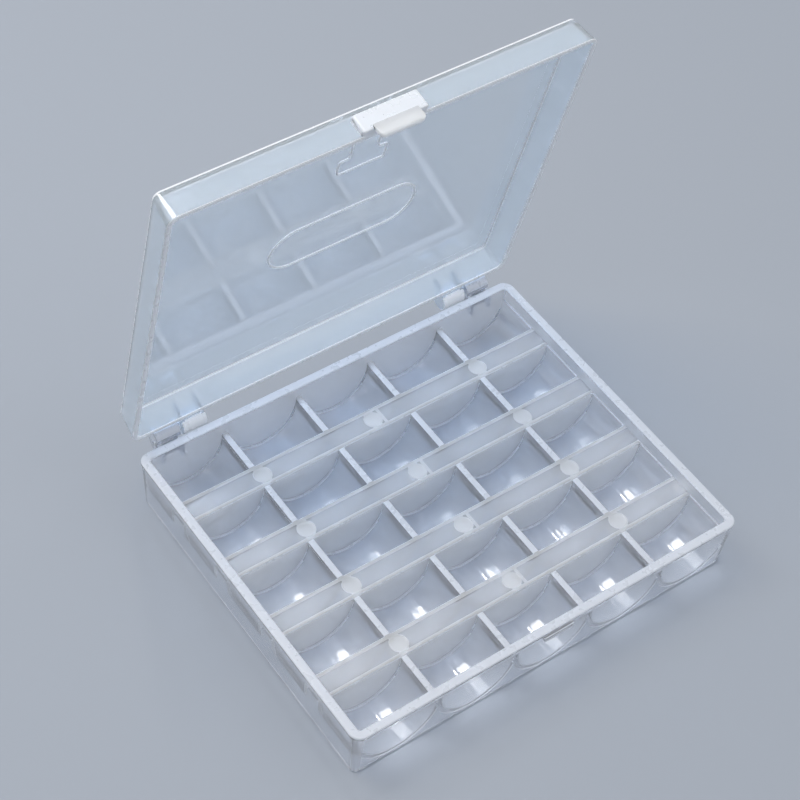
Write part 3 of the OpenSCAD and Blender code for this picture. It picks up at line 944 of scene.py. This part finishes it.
def lid_knuckle(p, lid, h, mirrored):
    """Lid half of a hinge, drawn closed: two ears, a curved web and the stub pin, in one solid."""
    half = p.depth / 2
    y, z = half + h.setback, p.height + h.rise
    rim = p.height + lid.gap
    lean = lid.taper / lid.height
    rib = rounded_profile(
        [
            (half - 0.0005 - 5 * lean * 0.001, rim + 0.005),
            (half + 0.0003, rim + 0.005),
            (y + 0.0019, z + 0.0018),
            (y - 0.0006, z - 0.0021),
            (half + 0.0004, rim + 0.00005),
            (half - 0.0005, rim + 0.0006),
        ],
        [0.0001, 0.0007, 0.0004, 0.0004, 0.0002, 0.0001],
    )
    wedge = rounded_profile(
        [
            (half - 0.0012, rim + 0.0026),
            (half - 0.0005, rim + 0.0006),
            (half + 0.0006, rim + 0.0003),
            (y - 0.001, z + 0.0023),
        ],
        0.0001,
    )
    name = "lid_knuckle"
    solids = hinge_half(name, h, (y, z), h.offset, rib, wedge, (110, 280), mirrored)
    rooted, beyond, chamfer = 0.0003, 0.0004, 0.00015
    pin_start, pin_width = h.offset + h.width - rooted, rooted + h.gap + h.ear + beyond
    solids.append(prism(name, disc((y, z), h.pin), pin_start, pin_width, chamfer, mirrored))
    return combine(solids[0], solids[1:])


def latch_plate(p, lid, latch):
    """Thick plate on the lid's front wall, drawn closed: a block with rounded edges and leaning ends."""
    rim = p.height + lid.gap
    low, high = rim + 2 * HAIR, rim + latch.plate_height
    front = -p.depth / 2
    outline = rounded_profile(
        [
            (front + 0.0013, low),
            (front - latch.plate_depth, low),
            (front - latch.plate_depth, high),
            (front + 0.0018, high),
        ],
        [0.0001, 0.0005, 0.0005, 0.0001],
    )
    return prism("plate", outline, -latch.plate_width / 2, latch.plate_width, 0.0008)


def lid_plate_and_highlight_faces(shell, p, lid, latch):
    """Which plastic each face of the lid shows: 2 on the plate, 1 on rim, edges and lines, else 0."""
    middle, normal = face_places(shell)
    x, y, z = middle.T
    up = np.abs(normal[:, 2])
    # Rim, edges and raised lines get a whiter copy of the plastic: a painted highlight, partly more
    # plastic along the view.
    rim = (normal[:, 2] < -FACES_UP) & (z < p.height + lid.gap + 0.001)
    edge = (up > TURNING) & (up < NEARLY_FLAT)
    inner = p.height + lid.gap + lid.height - lid.panel
    line = (z < inner - HAIR) & (z > inner - lid.line_height - 0.0001)
    line &= (np.abs(x) < lid.label_length / 2 + 0.001) & (y < lid.label_height)
    line &= y > 0.004 - p.depth / 2
    plate = (y < -p.depth / 2 - 0.0004) & (np.abs(x) < latch.plate_width / 2 + 0.0001)
    return np.where(plate, 2, rim | edge | line)


class BOX_OT_lid(Operator):
    """Build the lid moulding: panel, walls, raised outlines, lid hinge halves and latch plate"""

    bl_idname = "box.lid"
    bl_label = "Lid moulding"

    def execute(self, context):
        p, lid, h = settings().box_tray, settings().box_lid, settings().box_hinge
        latch, f = settings().box_latch, settings().box_finish
        shell = lid_shell(p, lid)
        extras = lid_lines(p, lid)
        extras += [lid_knuckle(p, lid, h, mirrored) for mirrored in (False, True)]
        combine(shell, extras + [latch_plate(p, lid, latch)])
        smooth(shell)
        lid_face_looks = lid_plate_and_highlight_faces(shell, p, lid, latch)
        turned_open(shell, p.depth / 2 + h.setback, p.height + h.rise, lid.open_angle)
        glossy, matt = f.roughness - 0.04, f.roughness + 0.18
        # The second look is a whiter copy on rim, edges and raised lines: a painted highlight, partly
        # more plastic along the view.
        thin = plastic("lid_plastic_look", f.lid_colour, f.lid_clear, glossy, 0.04, 0.02, coat=1.0)
        deep_and_highlit = plastic("lid_thick_look", f.line_and_highlight_colour, f.thick_highlight_clear, matt, 0.03, 0.0, 0.0)
        plate = plastic("lid_plate_look", f.latch_colour, f.latch_clear, matt, 0.03, 0.0, 0.0)
        nodes = ["lid_shell", "lid_knuckle_left", "lid_knuckle_right"]
        nodes += ["label_outline", "spool_outline", "latch_plate"]
        finish_piece(shell, [thin, deep_and_highlit, plate], "lid", nodes, lid_face_looks)
        return {"FINISHED"}


def latch_flap(p, lid, latch):
    """Flap below the lid's rim, drawn closed: a bead, a thumb lip and a hook under the catch rib."""
    rim, drop, gap = p.height + lid.gap, latch.flap_drop, 0.00005
    face = -p.depth / 2 - latch.plate_depth - 2 * HAIR
    inner = -p.depth / 2 - latch.catch_depth - 0.00025
    bead, bead_top, bottom = 0.0002, rim + 0.0011, rim - drop
    outer = face - 2 * bead
    outline = rounded_profile(
        [
            (face, bead_top),
            (outer, bead_top),
            (outer - 0.0005, bottom + 0.0006),
            (outer - 0.0004, bottom + 0.0001),
            (inner, bottom),
            (inner, rim - gap),
            (face, rim - gap),
        ],
        [bead * 0.95, bead * 0.95, 0.0003, 0.0003, 0.0003, 0.0001, 0.00005],
    )
    hook_top, hook_inset = CATCH_BOX[0][2] - gap, 0.0012
    hook = rounded_profile(
        [
            (inner - 0.0003, hook_top),
            (inner - 0.0003, bottom + 0.0001),
            (inner + 0.00015, bottom + 0.0001),
            (inner + 0.00055, hook_top - 0.0003),
            (inner + 0.00055, hook_top),
        ],
        [0.00005, 0.00005, 0.0001, 0.0001, 0.0001],
    )
    left, width = -latch.flap_width / 2, latch.flap_width
    corner = (rim, drop, latch.flap_corner)
    flap = prism("latch_flap_piece", outline, left, width, 0.0003, corner=corner)
    return combine(flap, [prism("hook", hook, left + hook_inset, width - 2 * hook_inset, 0.0001)])


class BOX_OT_latch(Operator):
    """Build the latch flap with its thumb lip and hook"""

    bl_idname = "box.latch"
    bl_label = "Latch flap"

    def execute(self, context):
        p, lid, h = settings().box_tray, settings().box_lid, settings().box_hinge
        latch, f = settings().box_latch, settings().box_finish
        flap = latch_flap(p, lid, latch)
        turned_open(flap, p.depth / 2 + h.setback, p.height + h.rise, lid.open_angle)
        smooth(flap)
        satin = f.roughness + 0.05
        material = plastic("latch_plastic_look", f.latch_colour, f.latch_clear, satin, 0.03, 0.03)
        finish_piece(flap, [material], "latch", ["latch_flap"])
        return {"FINISHED"}


class BOX_OT_stage(Operator):
    """Lay the floor, hang the lamps and set the camera"""

    bl_idname = "box.stage"
    bl_label = "Floor, light and camera"

    def execute(self, context):
        s = settings().box_stage
        scene = bpy.context.scene
        half = s.floor_size / 2
        corners = np.array([(-half, -half), (half, -half), (half, half), (-half, half)])
        corners = np.column_stack([corners, np.full(4, -FLOOR_GAP)])
        mesh = bpy.data.meshes.new("floor")
        mesh.from_pydata(corners.tolist(), [], [(0, 1, 2, 3)])
        floor = bpy.data.objects.new("floor", mesh)
        scene.collection.objects.link(floor)
        look = bpy.data.materials.new("floor_look")
        look.use_nodes = True
        shader = look.node_tree.nodes["Principled BSDF"]
        shader.inputs["Base Color"].default_value = (*s.floor_colour, 1)
        shader.inputs["Roughness"].default_value = 0.7
        shader.inputs["Specular IOR Level"].default_value = 0.2
        mesh.materials.append(look)

        world = bpy.data.worlds.new("soft_sky")
        world.use_nodes = True
        sky = world.node_tree.nodes["Background"]
        sky.inputs["Color"].default_value = (*s.world_colour, 1)
        sky.inputs["Strength"].default_value = s.world_strength
        scene.world = world

        for name, place, wide, high, watts in LAMPS:
            lamp = bpy.data.lights.new(name, "AREA")
            lamp.shape = "RECTANGLE"
            lamp.size = wide
            lamp.size_y = high
            lamp.energy = getattr(s, watts)
            obj = bpy.data.objects.new(name, lamp)
            obj.location = place
            aim = Vector(LAMP_AIM) - Vector(place)
            obj.rotation_euler = aim.to_track_quat("-Z", "Y").to_euler()
            scene.collection.objects.link(obj)

        camera = bpy.data.cameras.new("camera")
        camera.sensor_width = CAMERA_SENSOR
        camera.lens = CAMERA_LENS
        view = bpy.data.objects.new("camera", camera)
        azimuth, elevation, roll = (math.radians(angle) for angle in CAMERA_ANGLES)
        tilt = Matrix.Rotation(math.pi / 2 - elevation, 4, "X") @ Matrix.Rotation(roll, 4, "Z")
        turn = Matrix.Rotation(-azimuth, 4, "Z") @ tilt
        view.matrix_world = Matrix.Translation(CAMERA_PLACE) @ turn
        scene.collection.objects.link(view)
        scene.camera = view
        scene.view_settings.view_transform = "Standard"
        return {"FINISHED"}


class BOX_PT_panel(Panel):
    """Sidebar panel with the sizes, the finish and the build buttons"""

    bl_idname = "BOX_PT_panel"
    bl_label = "Bobbin Box"
    bl_space_type = "VIEW_3D"
    bl_region_type = "UI"
    bl_category = "Bobbin Box"

    def draw(self, context):
        layout = self.layout
        for group_name, group in PROPERTY_GROUPS:
            column = layout.column(align=True)
            column.label(text=group.__doc__)
            for label in group.__annotations__:
                column.prop(getattr(context.scene, group_name), label)
        for operator in OPERATORS:
            layout.operator(operator.bl_idname)


PROPERTY_GROUPS = (
    ("box_tray", BoxTray),
    ("box_lid", BoxLid),
    ("box_hinge", BoxHinge),
    ("box_latch", BoxLatch),
    ("box_finish", BoxFinish),
    ("box_stage", BoxStage),
)
OPERATORS = (BOX_OT_tray, BOX_OT_lid, BOX_OT_latch, BOX_OT_stage)


def register():
    """Registers the classes and hangs the property groups on the scene."""
    for group_name, group in PROPERTY_GROUPS:
        bpy.utils.register_class(group)
        setattr(bpy.types.Scene, group_name, PointerProperty(type=group))
    for operator in OPERATORS:
        bpy.utils.register_class(operator)
    bpy.utils.register_class(BOX_PT_panel)


def unregister():
    """Takes the classes and the property groups off again."""
    bpy.utils.unregister_class(BOX_PT_panel)
    for operator in reversed(OPERATORS):
        bpy.utils.unregister_class(operator)
    for group_name, group in reversed(PROPERTY_GROUPS):
        delattr(bpy.types.Scene, group_name)
        bpy.utils.unregister_class(group)


def main():
    """Builds every piece in order."""
    register()
    bpy.ops.box.tray()
    bpy.ops.box.lid()
    bpy.ops.box.latch()
    bpy.ops.box.stage()


if __name__ == "__main__":
    main()
